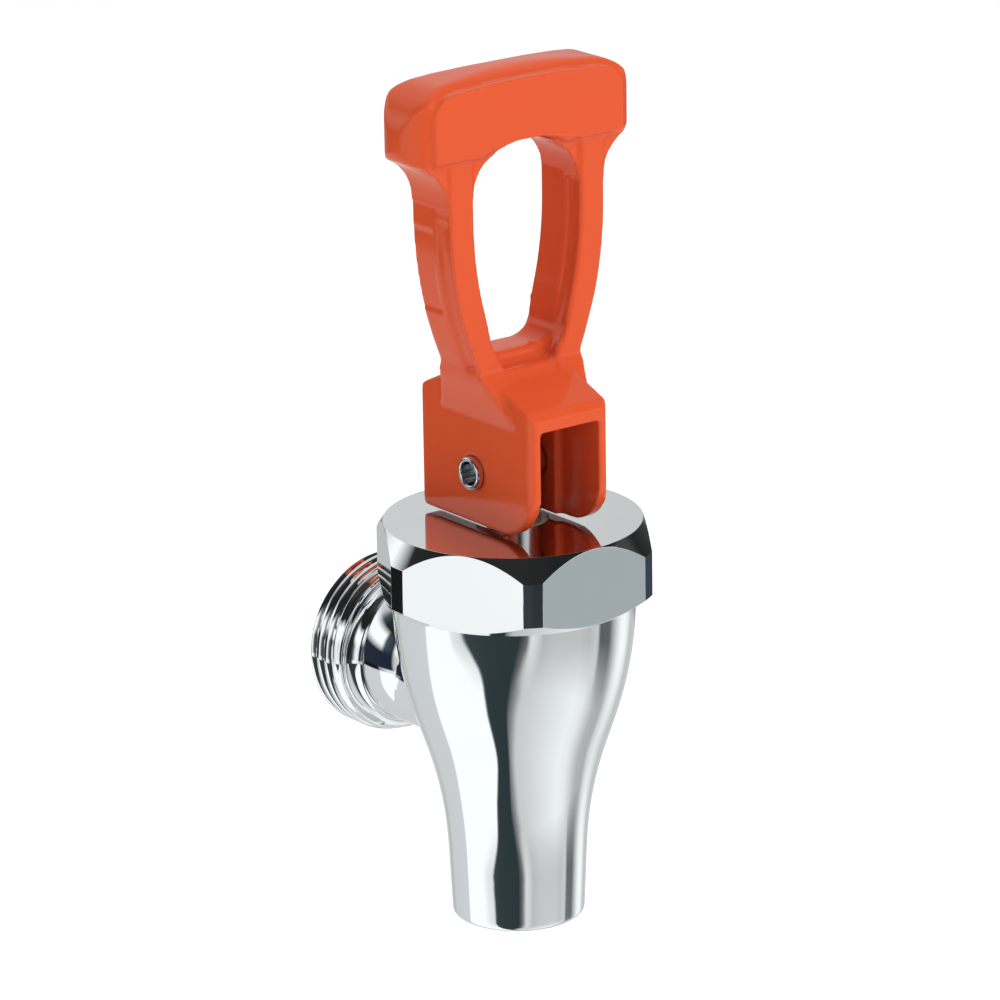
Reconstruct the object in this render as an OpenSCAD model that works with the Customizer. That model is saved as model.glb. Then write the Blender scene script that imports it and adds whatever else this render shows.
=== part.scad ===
/* [Body] */
// Outside diameter of the spout at the outlet
spout_od = 19; // [16:0.1:22]
// Bore of the spout
spout_bore = 15; // [12:0.1:15.4]
// Outside diameter of the throat, where the flare starts
throat_od = 19.7; // [19:0.1:22]
// Height of the throat above the outlet
throat_z = 8; // [5:0.5:12]
// Outside diameter of the body under the bonnet
shoulder_od = 34.6; // [33:0.1:35.4]
// Height of the shoulder that the bonnet stops on
shoulder_z = 47.6; // [46:0.1:54]
// Rounding of the lip at the outlet
lip_r = 0.8; // [0.3:0.1:1.2]
// Bore of the valve seat
seat_bore = 12.6; // [10:0.1:13]
// Height of the valve seat's land
seat_z = 19.5; // [16:0.1:21]
// Bore of the chamber above the seat
chamber_bore = 25.6; // [24:0.1:26.4]
// Diameter of the threaded neck that the bonnet goes on
neck_od = 31; // [30:0.1:32]
// Height of the threaded neck above the shoulder
neck_h = 6.6; // [5:0.1:7.5]

/* [Shank] */
// Height of the shank's axis above the outlet
shank_z = 33.2; // [31:0.1:36]
// Distance from the body's axis to the end of the shank
shank_reach = 32; // [30:0.1:60]
// Outside diameter of the thread
thread_od = 26.2; // [25:0.1:27]
// Length of the full thread
thread_len = 4.7; // [4:0.1:5.5]
// Chamfer at the end of the shank
thread_chamfer = 0.5; // [0.3:0.1:1]
// Diameter where the thread has run out
runout_od = 24.6; // [23:0.1:25]
// Length of the thread's run-out
runout_len = 1.9; // [1:0.1:2.4]
// Diameter of the relief behind the thread
relief_od = 20.6; // [18:0.1:23]
// Length of the relief
relief_len = 3.3; // [2.5:0.1:3.8]
// Largest diameter of the domed collar
collar_od = 22; // [21:0.1:23]
// Length of the domed collar
collar_len = 8; // [7:0.1:8.5]
// Diameter of the root between collar and body
root_od = 20; // [18:0.1:20.8]
// Height of the collar's axis above the thread's
collar_rise = 0.8; // [0:0.1:1.2]
// Bore of the shank
shank_bore = 13; // [10:0.1:14]

/* [Bonnet] */
// Width of the bonnet across its flats
across_flats = 36.8; // [36:0.1:38]
// Diameter that the six corners are turned to
corner_od = 40.2; // [39:0.1:41.5]
// Height of the bonnet
bonnet_h = 11.5; // [11:0.1:14]
// Thickness of the bonnet's top
bonnet_top_t = 3; // [2.4:0.1:3.6]
// Height of the upper chamfer at the corners
corner_drop = 3.2; // [2:0.1:4]
// Height of the lower chamfer at the corners
corner_rise = 1.9; // [1:0.1:3]

/* [Valve] */
// Diameter of the stem
stem_d = 7.94; // [6.5:0.02:8.2]
// Diameter of the stem's foot
foot_d = 15; // [13:0.1:15.6]
// Thickness of the stem's foot
foot_t = 2.4; // [1.8:0.1:3]
// Wall of the guide bush
bush_wall = 1.1; // [0.8:0.1:1.4]
// Running clearance of sliding and turning fits
run_gap = 0.06; // [0.03:0.01:0.09]
// Wire of the spring
wire_d = 1.4; // [1:0.1:1.6]
// Coils of the spring
coils = 6; // [5:1:7]
// Thickness of the spring's washer
washer_t = 0.8; // [0.6:0.1:1.2]
// Thickness of the clamp ring under the bonnet
ring_t = 0.6; // [0.5:0.1:0.8]
// Wall of the seat cup
cup_wall = 1.2; // [1:0.1:1.4]
// Thickness of the seat cup's flange
flange_t = 1.2; // [1:0.1:1.4]

/* [Handle] */
// Height of the handle's pin above the bonnet
pin_rise = 8; // [7.6:0.1:9]
// Diameter of the pin
pin_d = 4.76; // [4:0.02:5]
// How far the pin stands out of each ear
pin_proud = 1; // [0.5:0.1:1.4]
// Gap between the handle's heel and the bonnet
heel_gap = 0.6; // [0.5:0.05:0.8]
// Width of the clevis
clevis_w = 13.7; // [13.2:0.1:15]
// Reach of the clevis in front of the pin
clevis_front = 13.4; // [13:0.1:14]
// Reach of the clevis behind the pin
clevis_back = 12.4; // [12:0.1:13]
// Height of the clevis above the pin
clevis_top = 10; // [9.5:0.1:11]
// Radius of the cam at the front of the heel
cam_r = 7; // [6.5:0.1:7.4]
// Clearance beside the stem in the slot
slot_gap = 0.25; // [0.2:0.05:0.5]
// Height of the slot above the pin
slot_rise = 8.3; // [7.5:0.1:8.8]
// Height of the neck between clevis and legs, above the pin
shoulder_rise = 14; // [13.5:0.1:15]
// Height of the finger loop's floor above the pin
loop_floor = 19.4; // [18.5:0.1:21]
// Height of the grip's underside above the pin
loop_top = 46.6; // [46:0.1:60]
// Height of the legs' widest place above the pin
leg_wide_z = 37; // [34:0.5:40]
// Half the width over the legs there
leg_half_w = 13.4; // [13:0.05:15]
// Width of a leg
leg_w = 4.4; // [4:0.1:5]
// Depth of a leg, front to back
leg_d = 9.2; // [8.8:0.1:10]
// Rounding of a leg's edges
leg_edge_r = 0.9; // [0.5:0.1:1.2]
// Distance of the coves behind the front of the legs
cove_in = 1.9; // [1.6:0.1:2.2]
// Radius that the legs are bowed to
leg_bow_r = 54; // [50:1:70]
// Height of the grip
grip_h = 11.5; // [10:0.1:14]
// Length of the grip
grip_len = 41.9; // [41:0.1:48]
// Depth of the grip, front to back
grip_d = 10.8; // [10:0.1:12]
// How far the flat front panel stands proud
panel_proud = 0.4; // [0.2:0.05:0.6]

/* [Hidden] */
$fn = 96;
eps = 0.01;

chrome = [0.80, 0.81, 0.83];
brass = [0.80, 0.66, 0.36];
steel = [0.70, 0.71, 0.73];
silicone = [0.86, 0.86, 0.83];
acetal = [0.93, 0.92, 0.88];
orange = [0.90, 0.35, 0.18];

bonnet_z = shoulder_z;
top_z = bonnet_z + bonnet_h;
ceiling_z = top_z - bonnet_top_t;
neck_z = shoulder_z + neck_h;
pin_z = top_z + pin_rise;
heel_z = top_z + heel_gap;

// Points on an arc about c, from angle a0 to a1
function arc(c, r, a0, a1, n = 10) =
    [for (i = [0:n]) c + r * [cos(a0 + (a1 - a0) * i / n), sin(a0 + (a1 - a0) * i / n)]];

// An outline in x and z, drawn through the whole depth d
module along_y(d) {
    rotate([90, 0, 0]) linear_extrude(d, center = true) children();
}

// An outline in y and z, drawn across the width w
module along_x(w) {
    rotate([90, 0, 90]) linear_extrude(w, center = true) children();
}

module mirrored() {
    children();
    mirror([1, 0, 0]) children();
}

// Flare of the body: two equal arcs that meet halfway, upright at both ends
flare_dr = (shoulder_od - throat_od) / 2;
flare_dz = shoulder_z - throat_z;
flare_a = 2 * atan(flare_dr / flare_dz);
flare_r = flare_dz / 2 / sin(flare_a);
throat_r = throat_od / 2;
flare = concat(
    arc([throat_r + flare_r, throat_z], flare_r, 180, 180 - flare_a),
    arc([shoulder_od / 2 - flare_r, shoulder_z], flare_r, -flare_a, 0));

seat_cone = 2.6;
seat_land = 0.6;
seat_relief = 1;
seat_step = 0.6;
neck_chamfer = 0.8;
chamber_z = 37;
seat_top_r = seat_bore / 2 + seat_cone;

module body_outside() {
    rotate_extrude() polygon(concat(
        [[0, 0]],
        arc([spout_od / 2 - lip_r, lip_r], lip_r, -90, 0, 5),
        flare,
        [[neck_od / 2, shoulder_z], [neck_od / 2, neck_z - neck_chamfer],
         [neck_od / 2 - neck_chamfer, neck_z], [0, neck_z]]));
}

// The spout's bore, the seat's land and cone, and the chamber above them
module body_inside() {
    bore_end = seat_z - seat_land - seat_relief;
    translate([0, 0, -1]) cylinder(r = spout_bore / 2, h = bore_end + 1);
    rotate_extrude() polygon([
        [0, bore_end - eps], [spout_bore / 2, bore_end - eps],
        [seat_bore / 2, seat_z - seat_land], [seat_bore / 2, seat_z],
        [seat_top_r, seat_z + seat_cone], [seat_top_r + seat_step, seat_z + seat_cone],
        [chamber_bore / 2, chamber_z], [0, chamber_z]]);
    translate([0, 0, chamber_z - eps])
        cylinder(r = chamber_bore / 2, h = neck_z - chamber_z + 1);
}

inlet_y = chamber_bore / 4;
thread_y = shank_reach - thread_len;
relief_y = thread_y - runout_len;
collar_y = relief_y - relief_len;
collar_r = collar_od / 2;
root_r = root_od / 2;

// The domed collar is widest a little way in from its edge and falls to the root
dome_peak = 2.5;
dome_run = collar_len - dome_peak;
dome_drop = collar_r - root_r;
dome_r = (dome_run * dome_run + dome_drop * dome_drop) / (2 * dome_drop);
dome_a = asin(dome_peak / dome_r);

module along_shank(z) {
    translate([0, 0, z]) rotate([-90, 0, 0]) rotate_extrude() children();
}

module shank_outside() {
    along_shank(shank_z) polygon([
        [0, inlet_y], [relief_od / 2, inlet_y], [relief_od / 2, relief_y],
        [runout_od / 2, relief_y], [thread_od / 2, thread_y],
        [thread_od / 2, shank_reach - thread_chamfer],
        [thread_od / 2 - thread_chamfer, shank_reach], [0, shank_reach]]);
    along_shank(shank_z + collar_rise) polygon(concat(
        [[0, inlet_y], [root_r, inlet_y]],
        arc([collar_r - dome_r, collar_y - dome_peak], dome_r, -asin(dome_run / dome_r), dome_a, 12),
        [[0, collar_y]]));
}

module body() {
    color(chrome) difference() {
        union() {
            body_outside();
            shank_outside();
        }
        body_inside();
        translate([0, inlet_y, shank_z]) rotate([-90, 0, 0])
            cylinder(d = shank_bore, h = shank_reach);
    }
}

foot_in = 0.5;
crown_in = 0.1;
neck_gap = 0.1;

// A cone that takes the hexagon's corners off, leaving an arch on each flat
module bonnet_blank() {
    rotate_extrude() polygon([
        [0, bonnet_z], [across_flats / 2 - foot_in, bonnet_z],
        [corner_od / 2, bonnet_z + corner_rise],
        [corner_od / 2, top_z - corner_drop],
        [across_flats / 2 - crown_in, top_z], [0, top_z]]);
}

bush_r = stem_d / 2 + run_gap + bush_wall;

module bonnet() {
    color(chrome) difference() {
        intersection() {
            bonnet_blank();
            translate([0, 0, bonnet_z - 1])
                cylinder(d = across_flats / cos(30), h = bonnet_h + 2, $fn = 6);
        }
        translate([0, 0, bonnet_z - 1]) cylinder(d = neck_od + neck_gap, h = ceiling_z - bonnet_z + 1);
        translate([0, 0, ceiling_z - 1]) cylinder(r = bush_r, h = bonnet_top_t + 2);
    }
}

flange_z = neck_z;
ring_z = flange_z + flange_t;
ring_side_gap = 0.2;
ring_clear = 2.4;

// The slip ring between the bonnet's ceiling and the cup's flange
module clamp_ring() {
    color(brass) translate([0, 0, ring_z]) difference() {
        cylinder(d = neck_od - 2 * ring_side_gap, h = ceiling_z - ring_z);
        translate([0, 0, -1]) cylinder(d = foot_d + 2 * ring_clear, h = ceiling_z - ring_z + 2);
    }
}

nose_drop = 0.9;
seal_rise = 1.5;
seal_gap = 0.05;
cup_floor_z = seat_z + 4.4;
cup_clear = 0.3;
flange_in = 0.6;
knuckle = 1.2;
cup_r = foot_d / 2 + cup_wall + cup_clear;

// The button under the stem's foot snaps into the cup's nose and lifts it
button_d = 5.6;
button_h = 1.5;
button_neck_d = 3.8;
button_z = cup_floor_z - 2.6;

// The silicone cup: flange, thin wall, and a nose that closes the seat
module seat_cup() {
    color(silicone) difference() {
        rotate_extrude() polygon([
            [0, seat_z - nose_drop], [seat_bore / 2 - nose_drop - seal_gap, seat_z - nose_drop],
            [seat_bore / 2 + seal_rise - seal_gap, seat_z + seal_rise],
            [cup_r - knuckle / 2, seat_z + seat_cone], [cup_r, seat_z + seat_cone + knuckle],
            [cup_r, flange_z], [neck_od / 2 - flange_in, flange_z],
            [neck_od / 2 - flange_in, ring_z], [0, ring_z]]);
        translate([0, 0, cup_floor_z]) cylinder(r = cup_r - cup_wall, h = ring_z);
        translate([0, 0, button_z - 0.1]) cylinder(d = button_d + 2 * cup_clear, h = button_h + 0.2);
        translate([0, 0, button_z]) cylinder(d = button_neck_d + 2 * cup_clear, h = 5);
    }
}

foot_z = cup_floor_z;
washer_z = foot_z + foot_t;
spring_lo = washer_z + washer_t;
bush_flange_t = 1;
bush_sunk = 0.3;
spring_hi = ceiling_z - bush_flange_t;
spring_side_gap = 0.4;
spring_r = foot_d / 2 - spring_side_gap - wire_d / 2;

// Sweep of the wire: closed end coils, open coils between
wire_sides = 8;
spring_steps = 20;
spring_n = spring_steps * (coils + 2);
spring_lo_c = spring_lo + wire_d / 2 + 0.02;
spring_hi_c = spring_hi - wire_d / 2 - 0.02;
spring_pitch = (spring_hi_c - spring_lo_c - 2 * wire_d * 1.02) / coils;
function wire_z(t) = spring_lo_c + (t < 1 ? t * wire_d * 1.02
    : t > coils + 1 ? wire_d * 1.02 + coils * spring_pitch + (t - coils - 1) * wire_d * 1.02
    : wire_d * 1.02 + (t - 1) * spring_pitch);
function wire_point(t, k) = let (a = 360 * t, b = 360 * k / wire_sides, q = wire_d / 2)
    [(spring_r + q * cos(b)) * cos(a), (spring_r + q * cos(b)) * sin(a), wire_z(t) + q * sin(b)];

module spring() {
    rings = spring_n + 1;
    points = [for (i = [0:spring_n]) for (k = [0:wire_sides - 1]) wire_point(i / spring_steps, k)];
    sides = [for (i = [0:spring_n - 1]) for (k = [0:wire_sides - 1])
        [i * wire_sides + k, i * wire_sides + (k + 1) % wire_sides,
         (i + 1) * wire_sides + (k + 1) % wire_sides, (i + 1) * wire_sides + k]];
    first = [for (k = [0:wire_sides - 1]) wire_sides - 1 - k];
    last = [for (k = [0:wire_sides - 1]) (rings - 1) * wire_sides + k];
    color(steel) polyhedron(points = points, faces = concat(sides, [first], [last]));
}

module spring_washer() {
    color(steel) translate([0, 0, washer_z]) difference() {
        cylinder(d = foot_d - spring_side_gap, h = washer_t);
        translate([0, 0, -1]) cylinder(d = stem_d + 2 * run_gap, h = washer_t + 2);
    }
}

// The guide bush hangs in the bonnet's hole, and its flange takes the spring
module guide_bush() {
    color(acetal) difference() {
        union() {
            translate([0, 0, ceiling_z - bush_flange_t])
                cylinder(d = foot_d, h = bush_flange_t);
            translate([0, 0, ceiling_z - eps])
                cylinder(r = bush_r, h = bonnet_top_t - bush_sunk);
        }
        translate([0, 0, spring_hi - 1]) cylinder(d = stem_d + 2 * run_gap, h = bonnet_top_t + 4);
    }
}

stem_top = pin_z + stem_d / 2;
stem_chamfer = 0.8;

module stem() {
    color(steel) difference() {
        union() {
            translate([0, 0, button_z]) cylinder(d = button_d, h = button_h);
            translate([0, 0, button_z + 1]) cylinder(d = button_neck_d, h = 3);
            translate([0, 0, foot_z]) cylinder(d = foot_d, h = foot_t);
            translate([0, 0, foot_z + 1]) cylinder(d = stem_d, h = stem_top - foot_z - 1 - stem_chamfer);
            translate([0, 0, stem_top - stem_chamfer])
                cylinder(r1 = stem_d / 2, r2 = stem_d / 2 - stem_chamfer, h = stem_chamfer);
        }
        translate([0, 0, pin_z]) rotate([0, 90, 0])
            cylinder(d = pin_d + 2 * run_gap, h = stem_d * 2, center = true);
    }
}

pin_len = clevis_w + 2 * pin_proud;
pin_wall = 0.65;
pin_bore = pin_d - 2 * pin_wall;
pin_drilled = 3.5;

// The pin is drilled at both ends, so that its rims can be set
module handle_pin() {
    color(steel) translate([0, 0, pin_z]) rotate([0, 90, 0]) difference() {
        cylinder(d = pin_d, h = pin_len, center = true);
        for (s = [-1, 1]) translate([0, 0, s * pin_len / 2])
            cylinder(d = pin_bore, h = 2 * pin_drilled, center = true);
    }
}

slot_half = stem_d / 2 + slot_gap;
half_w = clevis_w / 2;
clevis_z = pin_z + clevis_top;
neck_top = pin_z + shoulder_rise;
leg_y = leg_d / 2;
cam_y = -clevis_front + cam_r;
cam_z = heel_z + cam_r;

// The clevis seen from the side, with the cam at the front of its heel
module side_outline() {
    r = 1.8;
    polygon(concat(
        arc([clevis_back - r, heel_z + r], r, -90, 0, 5),
        arc([clevis_back - 3, clevis_z - 1.6], 3, 0, 62, 5),
        arc([leg_y + 2.2, neck_top + 1.4], 2.2, 242, 180, 5),
        [[-leg_y, neck_top + 1.4]],
        arc([-leg_y - 1.6, neck_top + 1.4], 1.6, 0, -68, 5),
        [[-clevis_front + 0.9, clevis_z + 1.1], [-clevis_front, clevis_z]],
        arc([cam_y, cam_z], cam_r, 180, 270, 10)));
}

module clevis() {
    r = 1.2;
    intersection() {
        along_x(40) side_outline();
        translate([0, 0, heel_z - 1]) linear_extrude(neck_top + 3 - heel_z) {
            translate([-half_w + r, -20]) square([clevis_w - 2 * r, 40]);
            translate([-half_w, -clevis_front + r])
                square([clevis_w, clevis_front + clevis_back - 2 * r]);
            for (s = [-1, 1]) {
                translate([s * (half_w - r), -clevis_front + r]) circle(r);
                translate([s * (half_w - r), clevis_back - r]) circle(r);
            }
        }
    }
}

// The slot for the stem, open below, in front and behind, wider at the front
module slot() {
    pocket = 0.9;
    pocket_rise = 2;
    wall_y = stem_d / 2 + 0.5;
    z0 = heel_z - 1;
    h = pin_z + slot_rise - z0;
    translate([-slot_half, -20, z0]) cube([2 * slot_half, 40, h - pocket_rise]);
    translate([-slot_half - pocket, -20, z0])
        cube([2 * (slot_half + pocket), 20 - wall_y, h]);
}

bow_x = leg_half_w - leg_bow_r;
wide_z = pin_z + leg_wide_z;
floor_z = pin_z + loop_floor;
grip_z = pin_z + loop_top;
inner_r = leg_bow_r - leg_w;
loop_half = leg_half_w - leg_w;

// Where the legs' outer bow is at a height
function bow_at(z) = bow_x + sqrt(leg_bow_r * leg_bow_r - (wide_z - z) * (wide_z - z));

// A leg cut across: a bar with a cove on each side behind its front rib
cove_r = 2;
cove_depth = 0.65;
cove_x = leg_w / 2 + cove_r - cove_depth;
cove_y = cove_in - leg_y;
cove_a = acos((cove_r - cove_depth) / cove_r);
cove_stop = 38;
nose_from = 214;
rib_r = 0.3;
module leg_section() {
    hw = leg_w / 2;
    polygon(concat(
        arc([hw - rib_r, rib_r - leg_y], rib_r, -90, 0, 3),
        arc([cove_x, cove_y], cove_r, 180 + cove_a, 180 - cove_a, 9),
        arc([hw - leg_edge_r, leg_y - leg_edge_r], leg_edge_r, 0, 90, 6),
        arc([leg_edge_r - hw, leg_y - leg_edge_r], leg_edge_r, 90, 180, 6),
        arc([-cove_x, cove_y], cove_r, cove_a, -cove_stop, 9),
        arc([leg_edge_r - hw, leg_edge_r - leg_y], leg_edge_r, nose_from, 270, 5)));
}

// One leg: bowed below its widest place, straight above it
leg_sweep = asin((wide_z - neck_top) / (leg_bow_r - leg_w / 2));
module leg() {
    translate([bow_x, 0, wide_z]) {
        rotate([90, 0, 0]) rotate([0, 0, -leg_sweep]) rotate_extrude(angle = leg_sweep, $fn = 180)
            translate([leg_bow_r - leg_w / 2, 0]) mirror([0, 1]) leg_section();
        translate([leg_bow_r - leg_w / 2, 0, -eps]) linear_extrude(grip_z - wide_z + 1) leg_section();
    }
}

// A shallow flat recess on the outer side of a leg, open at the back
recess_depth = 0.3;
recess_from = 14;
recess_sweep = 13;
recess_back = 0.4;
module leg_recess() {
    translate([bow_x, 0, wide_z]) rotate([90, 0, 0]) rotate([0, 0, -recess_from])
        rotate_extrude(angle = recess_sweep, $fn = 180)
            translate([leg_bow_r - recess_depth, -leg_y - 1]) square([2, leg_y + 1 + recess_back]);
}

// The flare from a leg out to the end of the grip
flare_out_r = 20;
flare_sink = 0.15;
flare_start = 0.6;
flare_w = 5;
module leg_flare() {
    along_y(leg_d - 1) difference() {
        translate([leg_half_w - leg_edge_r, wide_z + flare_start]) square([flare_w, grip_z - wide_z]);
        translate([leg_half_w + flare_out_r - flare_sink, wide_z]) circle(flare_out_r, $fn = 180);
    }
}

// The lower end of a leg, spreading in depth and narrowing to the clevis's side
module gusset() {
    stub_z = neck_top + 2;
    intersection() {
        along_y(40) polygon([
            [0, pin_z + 7], [half_w - 0.4, pin_z + 7], [half_w, pin_z + 8.3],
            [bow_at(neck_top + 1) + 0.2, neck_top + 0.4], [bow_at(stub_z), stub_z],
            [bow_at(stub_z) - leg_w, stub_z], [4, neck_top - 2], [0, neck_top - 4]]);
        along_x(40) polygon([
            [clevis_back - 5.1, pin_z + 7], [clevis_back - 5.1, pin_z + 8], [leg_y - 0.2, stub_z],
            [-leg_y + 0.2, stub_z], [-clevis_front + 4.1, pin_z + 9.2],
            [-clevis_front + 4.1, pin_z + 7]]);
    }
}

// The web under the finger loop: scooped out in front, with a hollow floor
web_front = 1.3;
saddle_r = 16;
module web() {
    scoop = leg_y - web_front;
    intersection() {
        along_y(40) difference() {
            intersection() {
                translate([bow_x, wide_z]) circle(inner_r + 0.6, $fn = 180);
                translate([-bow_x, wide_z]) circle(inner_r + 0.6, $fn = 180);
                translate([-10, neck_top - 3]) square([20, floor_z + 6 - neck_top]);
            }
            translate([0, floor_z + 1.8 + saddle_r]) circle(saddle_r, $fn = 128);
        }
        along_x(40) polygon(concat(
            [[leg_y, neck_top - 3], [leg_y, floor_z + 3], [-web_front, floor_z + 3]],
            arc([-leg_y, neck_top + scoop], scoop, 0, -90, 8),
            [[-leg_y, neck_top - 3]]));
    }
}

// The bridge under the grip, with the loop's two rounded top corners
bridge_r = 6;
module bridge() {
    along_y(leg_d - 1) difference() {
        translate([-loop_half - 1, grip_z - bridge_r]) square([2 * loop_half + 2, bridge_r + 1]);
        translate([-loop_half, grip_z - bridge_r - 1]) square([2 * loop_half, 1 + eps]);
        translate([-loop_half + bridge_r, grip_z - bridge_r - 1])
            square([2 * (loop_half - bridge_r), bridge_r + 1]);
        for (s = [-1, 1]) translate([s * (loop_half - bridge_r), grip_z - bridge_r]) circle(bridge_r);
    }
}

grip_top = grip_z + grip_h;
grip_half = grip_len / 2;
grip_y = grip_d / 2;
corner_r = 5.2;
crown_r = 16;
crown_a = 50;
crown_x = grip_half - corner_r - (crown_r - corner_r) * cos(crown_a);

// Half of the grip from the front: crowned top, round shoulder, rounded under-corner
module grip_half_front() {
    shoulder = [crown_x, grip_top - crown_r] + (crown_r - corner_r) * [cos(crown_a), sin(crown_a)];
    under_r = 3.4;
    polygon(concat(
        [[0, grip_z]],
        arc([grip_half - under_r - 0.2, grip_z + under_r], under_r, -90, 0, 8),
        arc(shoulder, corner_r, 0, crown_a, 8),
        arc([crown_x, grip_top - crown_r], crown_r, crown_a, 90, 8),
        [[0, grip_top]]));
}

module grip_side() {
    q = 4;     // rounding along the top's two long edges
    front = grip_y - panel_proud;
    translate([-front, grip_z - 2]) square([front + grip_y, grip_h + 2 - q]);
    translate([-front + q, grip_top - q - eps]) square([front + grip_y - 2 * q, q + eps]);
    for (y = [-front + q, grip_y - q]) translate([y, grip_top - q]) circle(q);
}

module grip_plan() {
    translate([-grip_half + grip_y, -grip_y]) square([grip_len - grip_d, grip_d]);
    for (s = [-1, 1]) translate([s * (grip_half - grip_y), 0]) circle(grip_y);
}

// The flat panel on the front of the grip stands proud of it
panel_r = 60;
panel_half = grip_half - grip_y + 1;
panel_top = grip_top - 1.9;
module panel() {
    translate([0, -grip_y + 1.2, 0]) rotate([90, 0, 0]) linear_extrude(1.2) intersection() {
        translate([-panel_half, grip_z - eps]) square([2 * panel_half, panel_top - grip_z]);
        translate([0, panel_top - panel_r]) circle(panel_r, $fn = 360);
    }
}

module grip() {
    intersection() {
        along_y(grip_d + 2) union() {
            mirrored() grip_half_front();
        }
        along_x(grip_len + 2) grip_side();
        translate([0, 0, grip_z - 2]) linear_extrude(grip_h + 4) grip_plan();
    }
    panel();
}

module handle() {
    color(orange) difference() {
        union() {
            grip();
            bridge();
            mirrored() {
                leg();
                leg_flare();
                gusset();
            }
            web();
            clevis();
        }
        slot();
        mirrored() leg_recess();
        translate([0, 0, pin_z]) rotate([0, 90, 0])
            cylinder(d = pin_d, h = clevis_w + 2, center = true);
    }
}

body();
bonnet();
clamp_ring();
seat_cup();
spring();
spring_washer();
guide_bush();
stem();
handle_pin();
handle();
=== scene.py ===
import bpy, bmesh, math
from mathutils import Vector, Matrix


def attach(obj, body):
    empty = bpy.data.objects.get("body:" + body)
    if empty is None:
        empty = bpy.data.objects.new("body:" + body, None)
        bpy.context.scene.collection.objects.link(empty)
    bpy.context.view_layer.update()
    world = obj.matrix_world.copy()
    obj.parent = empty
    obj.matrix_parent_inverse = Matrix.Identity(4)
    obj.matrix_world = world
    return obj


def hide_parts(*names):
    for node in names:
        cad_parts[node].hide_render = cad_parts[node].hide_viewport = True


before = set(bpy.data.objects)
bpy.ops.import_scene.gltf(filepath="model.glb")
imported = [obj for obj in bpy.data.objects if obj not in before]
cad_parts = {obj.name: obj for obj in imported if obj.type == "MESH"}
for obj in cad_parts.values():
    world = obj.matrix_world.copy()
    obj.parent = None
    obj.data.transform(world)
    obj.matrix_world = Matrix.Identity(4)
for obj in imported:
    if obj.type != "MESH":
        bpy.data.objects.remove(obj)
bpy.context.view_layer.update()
mm = 0.001
print("frame loaded")


def newMesh(name, bm):
    bmesh.ops.remove_doubles(bm, verts=bm.verts, dist=1e-7)
    bmesh.ops.recalc_face_normals(bm, faces=bm.faces)
    mesh = bpy.data.meshes.new(name)
    bm.to_mesh(mesh)
    bm.free()
    obj = bpy.data.objects.new(name, mesh)
    bpy.context.scene.collection.objects.link(obj)
    return obj


def spun(name, profile, steps, axis="z", closed=False):
    # a profile of (radius, height) in mm, spun round the axis; its ends on the axis are poles
    bm = bmesh.new()
    verts = [bm.verts.new((r * mm, 0, h * mm)) for r, h in profile]
    edges = [bm.edges.new((a, b)) for a, b in zip(verts, verts[1:])]
    if closed:
        edges.append(bm.edges.new((verts[-1], verts[0])))
    bmesh.ops.spin(bm, geom=verts + edges, cent=(0, 0, 0), axis=(0, 0, 1), dvec=(0, 0, 0),
                   angle=2 * math.pi, steps=steps, use_merge=True, use_duplicate=False)
    bmesh.ops.remove_doubles(bm, verts=bm.verts, dist=1e-7)
    if axis == "y":
        bmesh.ops.rotate(bm, verts=bm.verts, cent=(0, 0, 0), matrix=Matrix.Rotation(-math.pi / 2, 3, "X"))
    if axis == "x":
        bmesh.ops.rotate(bm, verts=bm.verts, cent=(0, 0, 0), matrix=Matrix.Rotation(math.pi / 2, 3, "Y"))
    return newMesh(name, bm)


def arc(cx, cy, r, a0, a1, n):
    return [(cx + r * math.cos(math.radians(a0 + (a1 - a0) * i / n)),
             cy + r * math.sin(math.radians(a0 + (a1 - a0) * i / n))) for i in range(n + 1)]


def slab(name, outline, axis, low, high):
    # a closed prism of an outline in mm, from low to high along the axis
    order = {"x": (2, 0, 1), "y": (0, 2, 1), "z": (0, 1, 2)}[axis]
    bm = bmesh.new()
    face = bm.faces.new([bm.verts.new([(u, v, low)[k] * mm for k in order]) for u, v in outline])
    grown = bmesh.ops.extrude_face_region(bm, geom=[face])["geom"]
    step = [(0, 0, high - low)[k] * mm for k in order]
    bmesh.ops.translate(bm, verts=[g for g in grown if isinstance(g, bmesh.types.BMVert)], vec=step)
    return newMesh(name, bm)


def trim(bm, point, normal):
    # what lies beyond a plane goes, and the cut is closed
    out = bmesh.ops.bisect_plane(bm, geom=bm.verts[:] + bm.edges[:] + bm.faces[:], dist=1e-7,
                                 plane_co=point, plane_no=normal, clear_outer=True)
    rim = [e for e in out["geom_cut"] if isinstance(e, bmesh.types.BMEdge)]
    bmesh.ops.contextual_create(bm, geom=rim)


def join(obj, others):
    bm = bmesh.new()
    bm.from_mesh(obj.data)
    for other in others:
        bm.from_mesh(other.data)
        bpy.data.objects.remove(other)
    bm.to_mesh(obj.data)
    bm.free()


def soften(obj, voxel, rounds):
    mod = obj.modifiers.new("remesh", "REMESH")
    mod.mode = "VOXEL"
    mod.voxel_size = voxel * mm
    mod.use_smooth_shade = True
    soft = obj.modifiers.new("soften", "SMOOTH")
    soft.factor = 0.5
    soft.iterations = rounds
    applyAll(obj)


def move(obj, x, y, z):
    obj.data.transform(Matrix.Translation((x * mm, y * mm, z * mm)))


def cut(obj, other, how):
    mod = obj.modifiers.new(how, "BOOLEAN")
    mod.operation = how
    mod.solver = "EXACT"
    mod.object = other
    applyAll(obj)
    bpy.data.objects.remove(other)


def applyAll(obj):
    deps = bpy.context.evaluated_depsgraph_get()
    mesh = bpy.data.meshes.new_from_object(obj.evaluated_get(deps))
    old = obj.data
    obj.modifiers.clear()
    obj.data = mesh
    bpy.data.meshes.remove(old)


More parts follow.
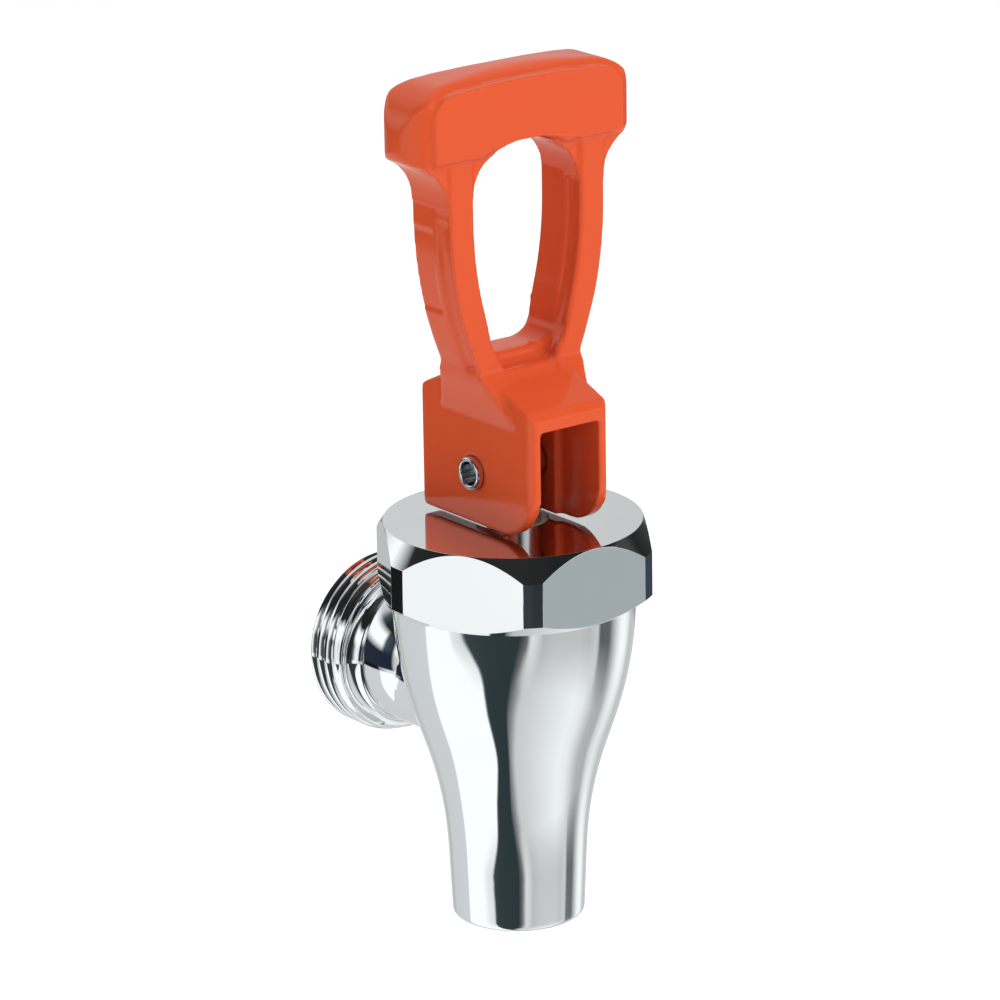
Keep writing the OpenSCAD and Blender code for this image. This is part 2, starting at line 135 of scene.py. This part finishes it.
def smooth(obj, angle):
    for p in obj.data.polygons:
        p.use_smooth = True
    obj.data.set_sharp_from_angle(angle=math.radians(angle))


finish = dict(toneScale=160, toneDetail=4, darker=0.96, bumpDetail=2)


def addNode(nt, kind, inputs, **values):
    # a shader node with its settings, and each input either linked or set
    made = nt.nodes.new(kind)
    for key, value in values.items():
        setattr(made, key, value)
    for key, value in inputs.items():
        if isinstance(value, bpy.types.NodeSocket):
            nt.links.new(value, made.inputs[key])
        else:
            made.inputs[key].default_value = value
    return made


def material(name, color, metal, rough, roughVar, bump, bumpScale):
    # color and roughness vary a little over the piece, and bump is the depth of its fine grain in metres
    mat = bpy.data.materials.new(name)
    mat.use_nodes = True
    nt = mat.node_tree
    bsdf = nt.nodes["Principled BSDF"]
    place = addNode(nt, "ShaderNodeTexCoord", {}).outputs["Object"]
    noise = addNode(nt, "ShaderNodeTexNoise", {
        "Vector": place, "Scale": finish["toneScale"], "Detail": finish["toneDetail"]}).outputs["Fac"]
    spread = addNode(nt, "ShaderNodeMapRange", {
        "Value": noise, "To Min": rough - roughVar, "To Max": rough + roughVar})
    nt.links.new(spread.outputs["Result"], bsdf.inputs["Roughness"])
    darker = [c * finish["darker"] for c in color]
    tone = addNode(nt, "ShaderNodeMix", {
        "Factor": noise, "A": (*darker, 1), "B": (*color, 1)}, data_type="RGBA")
    nt.links.new(tone.outputs["Result"], bsdf.inputs["Base Color"])
    fine = addNode(nt, "ShaderNodeTexNoise", {
        "Vector": place, "Scale": bumpScale, "Detail": finish["bumpDetail"]}).outputs["Fac"]
    grain = addNode(nt, "ShaderNodeBump", {"Height": fine, "Strength": 1.0, "Distance": bump})
    nt.links.new(grain.outputs["Normal"], bsdf.inputs["Normal"])
    bsdf.inputs["Metallic"].default_value = metal
    return mat


chrome = material("chrome", (0.86, 0.87, 0.89), 1.0, 0.035, 0.012, 0.000004, 220)
orangePlastic = material("orangePlastic", (0.67, 0.088, 0.027), 0.0, 0.13, 0.03, 0.000004, 400)
orangePlastic.node_tree.nodes["Principled BSDF"].inputs["Specular IOR Level"].default_value = 0.27
steel = material("steel", (0.62, 0.62, 0.64), 1.0, 0.25, 0.06, 0.00001, 900)
pinSteel = material("pinSteel", (0.74, 0.75, 0.78), 1.0, 0.14, 0.05, 0.00001, 700)
silicone = material("silicone", (0.78, 0.78, 0.74), 0.0, 0.55, 0.08, 0.00002, 500)
# the guide bush's grey is partly its own acetal colour and partly painted shade, darkened for the clevis'
# shadow it sits under
acetal = material("acetal", (0.45, 0.44, 0.41), 0.0, 0.4, 0.06, 0.00001, 500)


def wear(obj, mat, body):
    obj.data.materials.clear()
    obj.data.materials.append(mat)
    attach(obj, body)


bodyDims = dict(spoutR=9.5, throatR=9.85, throatZ=8, shoulderR=17.3, shoulderZ=47.6, ease=60, lipR=0.8,
                boreR=7.5, boreEdge=0.5, seatR=6.3, seatZ=19.5, seatCone=2.6, seatLand=0.6, seatStep=0.6,
                chamberR=12.8, chamberZ=37, neckR=15.5, neckZ=54.2, neckEdge=0.8, inletR=6.5, inletY=6.4)


def makeBody():
    d = bodyDims
    dr, dz = d["shoulderR"] - d["throatR"], d["shoulderZ"] - d["throatZ"]
    ang = 2 * math.degrees(math.atan(dr / dz))
    bend = dz / 2 / math.sin(math.radians(ang))
    outer = arc(d["spoutR"] - d["lipR"], d["lipR"], d["lipR"], -90, 0, 8)
    low, high = outer[-1][1], d["throatZ"]
    out = d["throatR"] - d["spoutR"]
    flare = [(d["spoutR"] + out * i / 16, low + (high - low) * i / 16) for i in range(1, 16)]
    flare += arc(d["throatR"] + bend, d["throatZ"], bend, 180, 180 - ang, 40)
    flare += arc(d["shoulderR"] - bend, d["shoulderZ"], bend, -ang, 0, 40)[1:]
    for k in range(d["ease"]):      # the flare runs on without a break in its curve
        flare[1:-1] = [((p[0] + 2 * q[0] + r[0]) / 4, q[1]) for p, q, r in zip(flare, flare[1:], flare[2:])]
    outer += flare
    outer += [(d["neckR"], d["shoulderZ"]), (d["neckR"], d["neckZ"] - d["neckEdge"]),
              (d["neckR"] - d["neckEdge"], d["neckZ"])]
    coneR, coneZ = d["seatR"] + d["seatCone"], d["seatZ"] + d["seatCone"]
    inner = [(d["chamberR"], d["neckZ"]), (d["chamberR"], d["chamberZ"]), (coneR + d["seatLand"], coneZ),
             (coneR, coneZ), (d["seatR"], d["seatZ"]), (d["seatR"], d["seatZ"] - d["seatStep"]),
             (d["boreR"], d["seatZ"] - d["seatStep"] - 1), (d["boreR"], d["boreEdge"]),
             (d["boreR"] + d["boreEdge"], 0)]
    body = spun("bodyCasting", outer + inner, 192, closed=True)
    cut(body, makeShank(), "UNION")
    r, end = d["inletR"], shankDims["endY"] + 8
    inlet = spun("inlet", [(0, d["inletY"]), (r, d["inletY"]), (r, end), (0, end)], 96, "y")
    move(inlet, 0, 0, shankDims["z"])
    cut(body, inlet, "DIFFERENCE")
    smooth(body, 28)
    wear(body, chrome, "housing")
    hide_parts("body")


shankDims = dict(z=33.2, startY=10.0, endY=32.0, fullY=27.3, runoutY=25.4, majorR=13.1, runoutR=12.35,
                 runoutEdge=0.12, runoutBack=(0.24, 0.06), depth=0.55, pitch=1.83, phase=0.15, crest=0.75,
                 root=0.1, runIn=0.8, steps=96, endWall=1.7, chamfer=0.45, hollow=1.9, hollowEdge=0.3,
                 reliefR=10.25, collarY=22.1, collarR=11.0, rootR=10.0, collarLen=8.0, peak=2.5, rise=0.8,
                 edge=0.35)


def makeShank():
    d = shankDims
    edge, y0, y1 = d["edge"], d["runoutY"], d["endY"]
    profile = [(0, d["startY"]), (d["reliefR"], d["startY"]), (d["reliefR"], d["collarY"])]
    # the hollow runs up to the thread
    profile += arc(d["reliefR"] + d["hollow"], y0 - d["hollowEdge"] - d["hollow"], d["hollow"], 180, 90, 12)
    profile += [(d["runoutR"] - d["runoutEdge"], y0 - back) for back in d["runoutBack"]]
    profile += [(d["majorR"], y0 + (y1 - y0) * i / d["steps"]) for i in range(d["steps"] + 1)]
    profile += [(d["majorR"] - d["endWall"], y1), (0, y1)]
    shank = spun("shank", profile, 192, "y")
    for v in shank.data.vertices:
        x, y, z = v.co / mm
        r = math.hypot(x, z)
        if y < y0 - 1e-4 or r < d["majorR"] - 0.01:
            continue
        turn = math.atan2(z, x) / (2 * math.pi)
        wave = abs(2 * ((y / d["pitch"] + turn + d["phase"]) % 1.0) - 1)    # 1 on a crest, 0 in a root
        wave = min(1.0, max(0.0, (wave - d["root"]) / d["crest"]))
        wave = math.sin(wave * math.pi / 2)
        major = d["runoutR"] + (d["majorR"] - d["runoutR"]) * min(1.0, (y - y0) / (d["fullY"] - y0))
        out = max(0.0, (y - (y1 - d["chamfer"])) / d["chamfer"])
        fade = min(1.0, (y - y0) / d["runIn"])
        rr = min(major - d["depth"] * fade * (1 - wave), major - d["chamfer"] * out * out)
        v.co = Vector((x * rr / r, y, z * rr / r)) * mm
    run, drop = d["collarLen"] - d["peak"], d["collarR"] - d["rootR"]
    bend = (run * run + drop * drop) / (2 * drop)
    a0, a1 = -math.degrees(math.asin(run / bend)), math.degrees(math.asin((d["peak"] - edge) / bend))
    dome = [(0, d["startY"]), (d["rootR"], d["startY"])]
    dome += arc(d["collarR"] - bend, d["collarY"] - d["peak"], bend, a0, a1, 24)
    dome += arc(dome[-1][0] - edge, d["collarY"] - edge, edge, a1 + 12, 90, 6)[:-1] + [(0, d["collarY"])]
    collar = spun("collar", dome, 192, "y")
    move(collar, 0, 0, d["rise"])
    cut(shank, collar, "UNION")
    move(shank, 0, 0, d["z"])
    return shank


bonnetDims = dict(z=47.6, top=59.1, flat=18.4, cornerR=20.5, topR=18.35, bottomR=17.9, topDrop=3.2,
                  bottomRise=1.9, edge=0.8, neckR=15.55, ceiling=56.1, holeR=5.13)


def makeBonnet():
    d = bonnetDims
    profile = [(0, d["z"]), (d["bottomR"], d["z"]), (d["cornerR"], d["z"] + d["bottomRise"]),
               (d["cornerR"], d["top"] - d["topDrop"]), (d["topR"], d["top"]), (0, d["top"])]
    bonnet = spun("bonnetCap", profile, 180)
    bm = bmesh.new()
    bm.from_mesh(bonnet.data)
    for k in range(6):
        a = math.radians(60 * k + 30)
        n = Vector((math.cos(a), math.sin(a), 0))
        trim(bm, n * d["flat"] * mm, n)
    bmesh.ops.remove_doubles(bm, verts=bm.verts, dist=2e-6)
    bm.normal_update()
    sharp = [e for e in bm.edges if len(e.link_faces) == 2 and e.calc_face_angle() > math.radians(12)]
    bmesh.ops.bevel(bm, geom=sharp, offset=d["edge"] * mm, offset_type="OFFSET", segments=4, profile=0.5,
                    affect="EDGES", clamp_overlap=True, material=-1)
    bm.to_mesh(bonnet.data)
    bm.free()
    neck, hole = d["neckR"], d["holeR"]
    inside = [(0, 40), (neck, 40), (neck, d["ceiling"]), (hole, d["ceiling"]), (hole, 70), (0, 70)]
    cut(bonnet, spun("inside", inside, 96), "DIFFERENCE")
    smooth(bonnet, 30)
    even = bonnet.modifiers.new("even", "WEIGHTED_NORMAL")      # flats that mirror as flat
    even.keep_sharp = True
    applyAll(bonnet)
    wear(bonnet, chrome, "housing")
    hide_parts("bonnet")


gripDims = dict(half=19.65, depth=5.4, front=5.0, bottom=113.1, cornerR=2.2, shoulderR=7.5, shoulderZ=116.6,
                crownR=117.0, top=124.75, edgeR=4.2, voxel=0.36, rounds=9)


def makeGrip():
    d = gripDims
    half, r = d["half"], d["shoulderR"]
    side = arc(half - d["cornerR"], d["bottom"] + d["cornerR"], d["cornerR"], -90, 0, 6)
    side += arc(half - r, d["shoulderZ"], r, 0, 86, 14)
    crown = arc(0, d["top"] - d["crownR"], d["crownR"], 84.5, 95.5, 16)
    front = side + crown + [(-x, z) for x, z in reversed(side)]
    grip = slab("grip", front, "y", -d["depth"], d["depth"])
    end = half - d["depth"]
    plan = arc(end, 0, d["depth"], -90, 90, 24) + arc(-end, 0, d["depth"], 90, 270, 24)
    cut(grip, slab("plan", plan, "z", 100, 140), "INTERSECT")
    q = d["edgeR"]
    across = [(-d["front"], 100), (d["depth"], 100)] + arc(d["depth"] - q, d["top"] - q, q, 0, 90, 12)
    across += arc(-d["front"] + q, d["top"] - q, q, 90, 180, 12)
    cut(grip, slab("across", across, "x", -30, 30), "INTERSECT")
    soften(grip, d["voxel"], d["rounds"])
    return grip


panelDims = dict(half=16.45, front=5.4, depth=1.2, bottom=113.65, cornerR=3.5, top=123.7, drop=0.7,
                 crownR=133.8)


def makePanel():
    d = panelDims
    half, r = d["half"], d["cornerR"]
    side = [(half, d["bottom"])] + arc(half - r, d["top"] - d["drop"] - r, r, 0, 76, 8)
    crown = arc(0, d["top"] - d["crownR"], d["crownR"], 84.4, 95.6, 12)
    outline = side + crown + [(-x, z) for x, z in reversed(side)]
    return slab("panel", outline, "y", -d["front"], -d["front"] + d["depth"])


flareDims = dict(inner=12.6, outer=17.4, centre=20.3, low=106.8, high=114.6, r=6.8, sweep=65, depth=4.3)


def makeFlare(side):
    # where a leg's top runs out under the grip, side 1 or -1
    d = flareDims
    curve = arc(d["centre"], d["low"], d["r"], 180, 180 - d["sweep"], 14)
    outline = [(d["inner"], d["low"])] + curve + [(d["outer"], d["high"]), (d["inner"], d["high"])]
    return slab("flare", [(side * x, z) for x, z in outline], "y", -d["depth"], d["depth"])


archDims = dict(legsR=9.0, gripR=14.0, panelR=28.0, top=115.0, low=112.0)


def makeArch(r):
    # the round top of the loop, with its own radius in each of the handle's forms
    centre = archDims["top"] - r
    a = math.degrees(math.asin((archDims["low"] - centre) / r))
    return slab("arch", arc(0, centre, r, a, 180 - a, 24), "y", -10, 10)


neckDims = dict(low=77.4, high=91.0, fade=2.5, rounds=16)


def smoothNeck(obj):
    # more rounds of smoothing where legs, web and clevis run into each other
    d = neckDims
    group = obj.vertex_groups.new(name="neck")
    for v in obj.data.vertices:
        z = v.co.z / mm
        weight = min(1, (z - d["low"]) / d["fade"], (d["high"] - z) / d["fade"])
        if weight > 0:
            group.add([v.index], weight, "REPLACE")
    mod = obj.modifiers.new("flow", "SMOOTH")
    mod.factor = 0.5
    mod.iterations = d["rounds"]
    mod.vertex_group = "neck"
    applyAll(obj)


handleDims = dict(splitZ=113.65, loopHalf=6.6, loopFloor=84.2, loopR=3.2, loopTopHalf=7.45, loopTop=92.0,
                  voxel=0.27, rounds=3)


def makeHandle():
    # legs, web and clevis are the CAD's, up to where the grip starts
    d = handleDims
    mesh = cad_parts["handle"].data.copy()
    handle = bpy.data.objects.new("handleMoulding", mesh)
    bpy.context.scene.collection.objects.link(handle)
    bm = bmesh.new()
    bm.from_mesh(mesh)
    bmesh.ops.remove_doubles(bm, verts=bm.verts, dist=1e-6)
    trim(bm, (0, 0, d["splitZ"] * mm), (0, 0, 1))
    bmesh.ops.recalc_face_normals(bm, faces=bm.faces)
    bm.to_mesh(mesh)
    bm.free()
    r = d["loopR"]
    floor = arc(d["loopHalf"] - r, d["loopFloor"] + r, r, -90, 0, 10) + [(d["loopTopHalf"], d["loopTop"])]
    cut(handle, slab("loop", floor + [(-x, z) for x, z in reversed(floor)], "y", -10, 10), "DIFFERENCE")
    grip, panel = makeGrip(), makePanel()
    cut(handle, makeArch(archDims["legsR"]), "DIFFERENCE")
    cut(grip, makeArch(archDims["gripR"]), "DIFFERENCE")
    cut(panel, makeArch(archDims["panelR"]), "DIFFERENCE")
    join(handle, [grip, panel, makeFlare(1), makeFlare(-1)])
    soften(handle, d["voxel"], d["rounds"])
    smoothNeck(handle)
    smooth(handle, 180)
    wear(handle, orangePlastic, "lever")
    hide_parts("handle")


pinDims = dict(half=7.85, r=2.38, bore=1.65, drilled=3.5, lip=0.35, inset=0.5, shoulder=0.6, z=67.1)


def makePin():
    d = pinDims
    h, r, b, lip, end = d["half"], d["r"], d["bore"], d["lip"], d["half"] - d["drilled"]
    profile = [(0, -end), (b, -end), (b, -h + d["inset"])] + arc(b + lip, -h + lip, lip, 180, 360, 10)
    profile += [(r, -h + d["shoulder"]), (r, h - d["shoulder"])] + arc(b + lip, h - lip, lip, 0, 180, 10)
    profile += [(b, h - d["inset"]), (b, end), (0, end)]
    pin = spun("handlePinTube", profile, 64, "x")
    move(pin, 0, 0, d["z"])
    smooth(pin, 40)
    wear(pin, pinSteel, "lever")
    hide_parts("handle_pin")


makeBody()
print("body done")
makeBonnet()
print("bonnet done")
makeHandle()
print("handle done")
makePin()
for name, mat in (("clamp_ring", steel), ("seat_cup", silicone), ("spring", steel), ("spring_washer", steel),
                  ("guide_bush", acetal), ("stem", steel)):     # the inside pieces stay the CAD's own
    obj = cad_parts[name]
    obj.data.materials.clear()
    obj.data.materials.append(mat)
print("pin and inside pieces done")

stageDims = dict(floorZ=-0.055, size=8.0, glow=0.3)


def makeFloor():
    bm = bmesh.new()
    bmesh.ops.create_grid(bm, x_segments=8, y_segments=8, size=stageDims["size"])
    bmesh.ops.translate(bm, verts=bm.verts, vec=(0, 0, stageDims["floorZ"]))
    floor = newMesh("floor", bm)
    paper = material("paper", (0.9, 0.9, 0.9), 0.0, 0.8, 0.05, 0.0001, 50)
    shade = paper.node_tree.nodes["Principled BSDF"].inputs
    shade["Emission Color"].default_value = (1, 1, 1, 1)
    shade["Emission Strength"].default_value = stageDims["glow"]
    floor.data.materials.append(paper)
    floor.visible_glossy = False


makeFloor()

# The photo's camera, in degrees and mm
view = dict(az=-37.23, el=17.673, roll=0.917, dist=773.0, height=61.709, side=-1.769, lens=197.97)


def makeCamera():
    a, e, r = (math.radians(view[k]) for k in ("az", "el", "roll"))
    back = Vector((math.sin(a) * math.cos(e), -math.cos(a) * math.cos(e), math.sin(e)))
    right = Vector((math.cos(a), math.sin(a), 0))
    up = back.cross(right)
    pos = Vector((0, 0, view["height"])) + right * view["side"] + back * view["dist"]
    sx = right * math.cos(r) - up * math.sin(r)
    sy = right * math.sin(r) + up * math.cos(r)
    cam = bpy.data.objects.new("camera", bpy.data.cameras.new("camera"))
    cam.data.lens = view["lens"]
    cam.data.sensor_width = 36
    cam.data.clip_end = 50
    m = Matrix((sx, sy, back)).transposed().to_4x4()
    m.translation = pos * mm
    cam.matrix_world = m
    bpy.context.scene.collection.objects.link(cam)
    bpy.context.scene.camera = cam


makeCamera()


def areaLight(name, rel, elev, dist, size, watts):
    # rel: degrees round from the camera, positive to its right
    a = math.radians(view["az"] + rel)
    e = math.radians(elev)
    d = Vector((math.sin(a) * math.cos(e), -math.cos(a) * math.cos(e), math.sin(e)))
    data = bpy.data.lights.new(name, "AREA")
    data.shape = "RECTANGLE"
    data.size, data.size_y = size
    data.energy = watts
    obj = bpy.data.objects.new(name, data)
    obj.location = Vector((0, 0, 0.065)) + d * dist
    obj.rotation_euler = d.to_track_quat("Z", "Y").to_euler()
    obj.visible_glossy = False
    bpy.context.scene.collection.objects.link(obj)


areaLight("keyLight", 55, 35, 1.2, (0.7, 0.9), 8.5)
areaLight("fillLight", -70, 20, 1.2, (0.8, 0.9), 1.5)
areaLight("topLight", 170, 70, 1.3, (1.0, 1.0), 4)

# The surroundings that the chrome mirrors, as rings one above the other. Each ring has the heights in
# degrees where it fades in, and tones by direction round the camera, positive to its right.
rings = [
    ((-90, -90), [
        (-180, 196), (-140, 200), (-93, 205), (-91.5, 255), (-41, 255), (-39, (50, 60, 62)),
        (-4, (47, 57, 61)), (3, 140), (9, 200), (18, 205), (44, 226), (66, 240), (78, 234), (86, 212),
        (96, 178), (110, 172), (118, 212), (128, 226), (140, 200), (150, 190), (180, 196)]),
    ((-38, -24), [
        (-180, 196), (-168, 224), (-158, 184), (-146, 180), (-138, 200), (-93, (201, 207, 210)),
        (-91.5, 255), (-53, 255), (-47, 228), (-41, 216), (-38.5, (58, 68, 70)), (-30, (52, 62, 64)),
        (-4, (48, 58, 61)), (0, 105), (5, 224), (12, 210), (20, 180), (34, 190), (66, 190), (76, 183),
        (86, 200), (90, (88, 96, 99)), (103, 98), (108, 158), (114, 203), (122, 242), (130, 250),
        (138, 230), (146, 188), (180, 196)]),
    ((-20.2, -19.3), [
        (-180, 182), (-150, 176), (-128, 60), (-118, 30), (-96, 32), (-90, 150), (-70, 222),
        (-36, (222, 226, 226)), (-26, 250), (-19, 250), (-12, (60, 66, 68)), (0, (45, 54, 56)),
        (24, (42, 50, 52)), (29, (28, 31, 33)), (35, (150, 160, 160)), (60, (158, 167, 167)),
        (95, (160, 169, 170)), (112, 140), (122, (60, 67, 75)), (150, (60, 67, 75)), (180, 182)]),
    ((-16.6, -15.4), [
        (-180, 150), (-140, 130), (-128, (58, 66, 72)), (-118, (42, 48, 60)), (-60, (34, 44, 58)),
        (-54, 190), (-40, 224), (-26, 250), (-16, 90), (-8, 40), (28, 40), (38, 120), (58, 158),
        (95, 162), (110, 60), (150, 60), (180, 160)]),
    ((1, 9), [
        (-180, 200), (-135, 225), (-122, 252), (-88, 255), (-80, (70, 84, 98)), (-60, 52), (-52, 255),
        (-16, 255), (-8, 40), (26, 40), (40, 220), (60, 255), (92, 250), (104, 90), (125, 40), (150, 60),
        (180, 200)]),
    ((20, 28), [
        (-180, 214), (-140, 214), (-124, 190), (-112, (72, 84, 92)), (-100, 44), (-60, 38), (100, 38),
        (125, 50), (150, 180), (180, 214)]),
    ((46, 58), [
        (-180, 205), (-110, (150, 150, 146)), (-80, 60), (90, 50), (130, 90), (180, 205)])]

# How far the bands lean round the camera, in degrees by direction. Each list has the heights where its lean
# starts and where it is full, and the power by which it grows. The last two make the dark funnel under the
# bonnet.
leans = [
    ((-20, -60, 1), [
        (-180, 0), (-130, -16), (-112, -23.3), (-84, -23.3), (-62, 0), (-46, 8), (-30, 8), (-20, -5.3),
        (-10, -13.3), (6, -9.3), (40, 0), (80, 5.3), (104, 10.7), (130, 5.3), (180, 0)]),
    ((-37, -20, 2), [
        (-180, 0), (-95, 0), (-62, -24), (-40, -19), (-20, -6), (0, 4), (12, 14), (25, 12), (50, 0),
        (180, 0)]),
    ((-46, -30, 1), [
        (-180, 0), (-60, 0), (-42, 3), (-30, 4), (-6, 4), (3, 5), (10, 5), (22, 2), (40, 0), (180, 0)])]

worldDims = dict(mirrored=1.15, plain=0.56, gamma=2.2, gain=1.02)


def tint(tone):
    # the light's own strength for a tone seen in the mirror; a single number is a cool grey
    red, green, blue = tone if isinstance(tone, tuple) else (tone * 0.985, tone, tone * 0.995)
    return [(c / 255) ** worldDims["gamma"] * worldDims["gain"] for c in (red, green, blue)] + [1]


def makeWorld():
    world = bpy.data.worlds.new("studio")
    bpy.context.scene.world = world
    world.use_nodes = True
    nt = world.node_tree
    nt.nodes.clear()

    def calc(operation, a, b=0.0):
        return addNode(nt, "ShaderNodeMath", {0: a, 1: b}, operation=operation).outputs[0]

    def grow(value, start, full):
        # 0 where the value is at start, 1 where it is at full
        ends = {"Value": value, "From Min": start, "From Max": full}
        return addNode(nt, "ShaderNodeMapRange", ends).outputs["Result"]

    def ramp(where, colors):
        made = addNode(nt, "ShaderNodeValToRGB", {"Fac": where})
        stops = made.color_ramp.elements
        stops[0].color, stops[1].color = colors[0][1], colors[-1][1]
        for angle, color in colors[1:-1]:
            stops.new((angle + 180) / 360).color = color
        return made.outputs["Color"]

    coord = addNode(nt, "ShaderNodeTexCoord", {})
    ahead = (0, 0, -math.radians(view["az"]))
    turn = addNode(nt, "ShaderNodeMapping", {
        "Vector": coord.outputs["Generated"], "Rotation": ahead}, vector_type="POINT")
    split = addNode(nt, "ShaderNodeSeparateXYZ", {"Vector": turn.outputs["Vector"]})
    height = calc("ARCSINE", split.outputs["Z"])
    around = calc("ARCTAN2", split.outputs["X"], calc("MULTIPLY", split.outputs["Y"], -1))
    unit = grow(around, -math.pi, math.pi)
    leaned = unit
    for (start, full, power), shifts in leans:
        shift = ramp(unit, [(angle, [0.5 + shift / 360] * 3 + [1]) for angle, shift in shifts])
        depth = calc("POWER", grow(height, math.radians(start), math.radians(full)), power)
        leaned = calc("SUBTRACT", leaned, calc("MULTIPLY", calc("SUBTRACT", shift, 0.5), depth))
    color = ramp(leaned, [(angle, tint(tone)) for angle, tone in rings[0][1]])
    for (low, high), bands in rings[1:]:
        above = ramp(leaned, [(angle, tint(tone)) for angle, tone in bands])
        fade = grow(height, math.radians(low), math.radians(high))
        color = addNode(nt, "ShaderNodeMix", {"Factor": fade, "A": color, "B": above},
                        data_type="RGBA").outputs["Result"]
    mirrored = addNode(nt, "ShaderNodeBackground", {"Color": color, "Strength": worldDims["mirrored"]})
    plain = addNode(nt, "ShaderNodeBackground", {"Color": (1, 1, 1, 1), "Strength": worldDims["plain"]})
    path = addNode(nt, "ShaderNodeLightPath", {})
    mix = addNode(nt, "ShaderNodeMixShader", {
        "Fac": path.outputs["Is Glossy Ray"], 1: plain.outputs[0], 2: mirrored.outputs[0]})
    addNode(nt, "ShaderNodeOutputWorld", {"Surface": mix.outputs[0]})


makeWorld()
bpy.context.scene.view_settings.view_transform = "Standard"
bpy.context.scene.view_settings.look = "None"
print("stage done")
